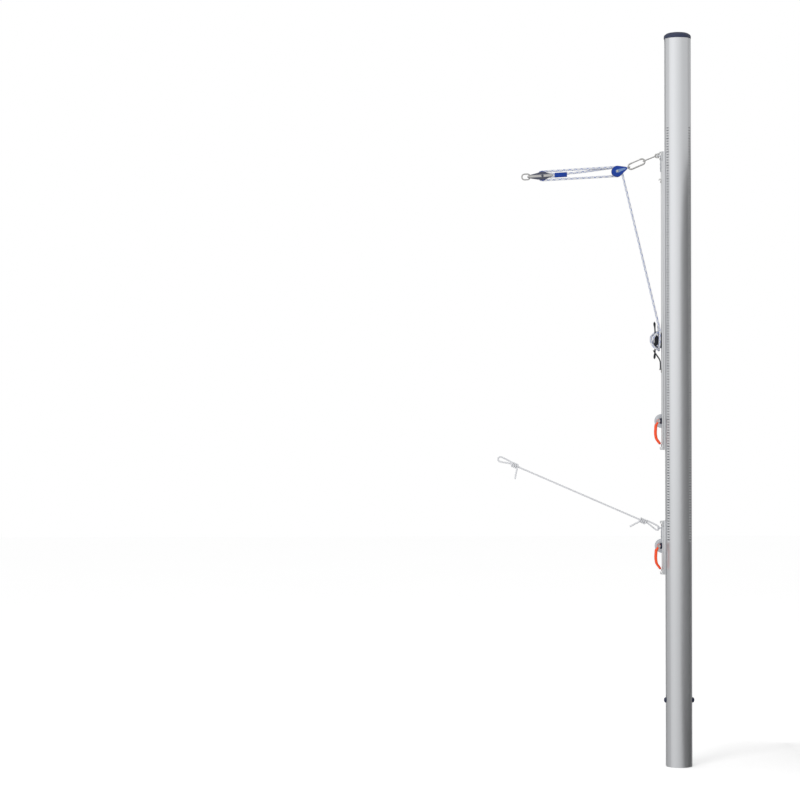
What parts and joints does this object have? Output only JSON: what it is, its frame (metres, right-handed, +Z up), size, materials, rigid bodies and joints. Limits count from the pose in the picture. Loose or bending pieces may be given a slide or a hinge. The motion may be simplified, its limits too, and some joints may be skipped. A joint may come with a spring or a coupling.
{
  "type": "volleyball net post",
  "caption": "Round slotted aluminium net post on a ground sleeve, with height sliders, lever clamps, a rope tackle, a cleat and a lower net cord.",
  "frame": {"origin": "on the post's axis, in the plane of its foot, which is the floor of its ground sleeve", "axes": "+Z up along the post, -X towards the net, -Y the front with the two height scales"},
  "size_m": [0.7372, 0.1012, 2.7503],
  "materials": {
    "anodised": "satin anodised, fine lengthwise extrusion lines",
    "bright": "lightly brushed",
    "stainless": "polished",
    "zinc": "zinc plated, satin",
    "navy": "moulded, slightly glossy",
    "black": "moulded, satin",
    "slide": "low friction, matt",
    "blue": "moulded, glossy",
    "orange": "dipped coating, satin",
    "film": "printed film, satin",
    "rope": "braided and twisted fibre, white with blue flecks",
    "elastic": "braided cover"
  },
  "bodies": {
    "post": {"profile_front": "anodised", "profile_back": "anodised", "slot_floor": "anodised", "top_cap": "navy", "foot_plug": "black", "scale_net_side": "film", "scale_far_side": "film", "stop_bolt": "navy", "stop_nut": "navy"},
    "upper_slider": {"upper_base_bar": "anodised", "upper_rail": "bright", "upper_bottom_hook": "bright", "upper_top_hook": "bright", "upper_bottom_shoe": "slide", "upper_top_shoe": "slide", "upper_bottom_screw": "stainless", "upper_top_screw": "stainless", "upper_bracket": "zinc", "upper_eye": "zinc", "upper_side_hook": "stainless", "lower_side_hook": "stainless", "rope_cleat": "black", "head_shackle": "stainless", "long_link": "stainless", "carabiner": "stainless", "near_head_link": "stainless", "near_cheek_front": "blue", "near_divider": "blue", "near_cheek_back": "blue", "near_pin": "stainless", "far_plate_front": "stainless", "far_plate_back": "stainless", "far_axle": "stainless", "ring_pin": "stainless", "net_ring": "stainless", "rope_sleeve": "blue", "tackle_rope": "rope", "rope_end": "black", "stow_cord": "elastic"},
    "upper_lever": {"upper_handle": "orange", "upper_cam_pin": "stainless"},
    "upper_clamp_block": {"upper_plunger": "black"},
    "lower_slider": {"lower_base_bar": "anodised", "lower_rail": "bright", "lower_bottom_hook": "bright", "lower_top_hook": "bright", "lower_bottom_shoe": "slide", "lower_top_shoe": "slide", "lower_bottom_screw": "stainless", "lower_top_screw": "stainless", "lower_bracket": "zinc", "lower_eye": "zinc", "lower_cord": "rope"},
    "lower_lever": {"lower_handle": "orange", "lower_cam_pin": "stainless"},
    "lower_clamp_block": {"lower_plunger": "black"},
    "snap_gate": {"carabiner_gate": "stainless"},
    "haul_wheel": {"near_sheave_front": "navy"},
    "return_wheel": {"near_sheave_back": "navy"},
    "far_wheel": {"far_sheave": "blue"}
  },
  "joints": [
    {"name": "upper_height", "type": "slide", "parent": "post", "child": "upper_slider", "axis": [0, 0, 1], "range_m": [-0.12, 0.4]},
    {"name": "lower_height", "type": "slide", "parent": "post", "child": "lower_slider", "axis": [0, 0, 1], "range_m": [-0.44, 0.12]},
    {"name": "upper_lever_turn", "type": "hinge", "parent": "upper_slider", "child": "upper_lever", "pos_m": [-0.0752, 0, 1.294], "axis": [0, 1, 0], "range_deg": [0, 100]},
    {"name": "lower_lever_turn", "type": "hinge", "parent": "lower_slider", "child": "lower_lever", "pos_m": [-0.0752, 0, 0.826], "axis": [0, 1, 0], "range_deg": [0, 100]},
    {"name": "upper_block_slide", "type": "slide", "parent": "upper_slider", "child": "upper_clamp_block", "axis": [-1, 0, 0], "range_m": [0, 0.0016]},
    {"name": "lower_block_slide", "type": "slide", "parent": "lower_slider", "child": "lower_clamp_block", "axis": [-1, 0, 0], "range_m": [0, 0.0016]},
    {"name": "gate_swing", "type": "hinge", "parent": "upper_slider", "child": "snap_gate", "pos_m": [-0.14441, 0, 2.2731], "axis": [0, -1, 0], "range_deg": [0, 25], "stiffness_Nm_per_rad": 0.03, "springref_deg": -17.19},
    {"name": "haul_wheel_spin", "type": "hinge", "parent": "upper_slider", "child": "haul_wheel", "pos_m": [-0.227, -0.0065, 2.23], "axis": [0, 1, 0], "continuous": true},
    {"name": "return_wheel_spin", "type": "hinge", "parent": "upper_slider", "child": "return_wheel", "pos_m": [-0.227, 0.0065, 2.23], "axis": [0, 1, 0], "continuous": true},
    {"name": "far_wheel_spin", "type": "hinge", "parent": "upper_slider", "child": "far_wheel", "pos_m": [-0.507, 0, 2.214], "axis": [0, 1, 0], "continuous": true}
  ],
  "couplings": [
    {"joint": "upper_block_slide", "follows": "upper_lever_turn", "m_per_rad": 0.000916},
    {"joint": "lower_block_slide", "follows": "lower_lever_turn", "m_per_rad": 0.000916},
    {"joint": "return_wheel_spin", "follows": "haul_wheel_spin", "ratio": 0.33333},
    {"joint": "far_wheel_spin", "follows": "haul_wheel_spin", "ratio": 0.66667}
  ]
}
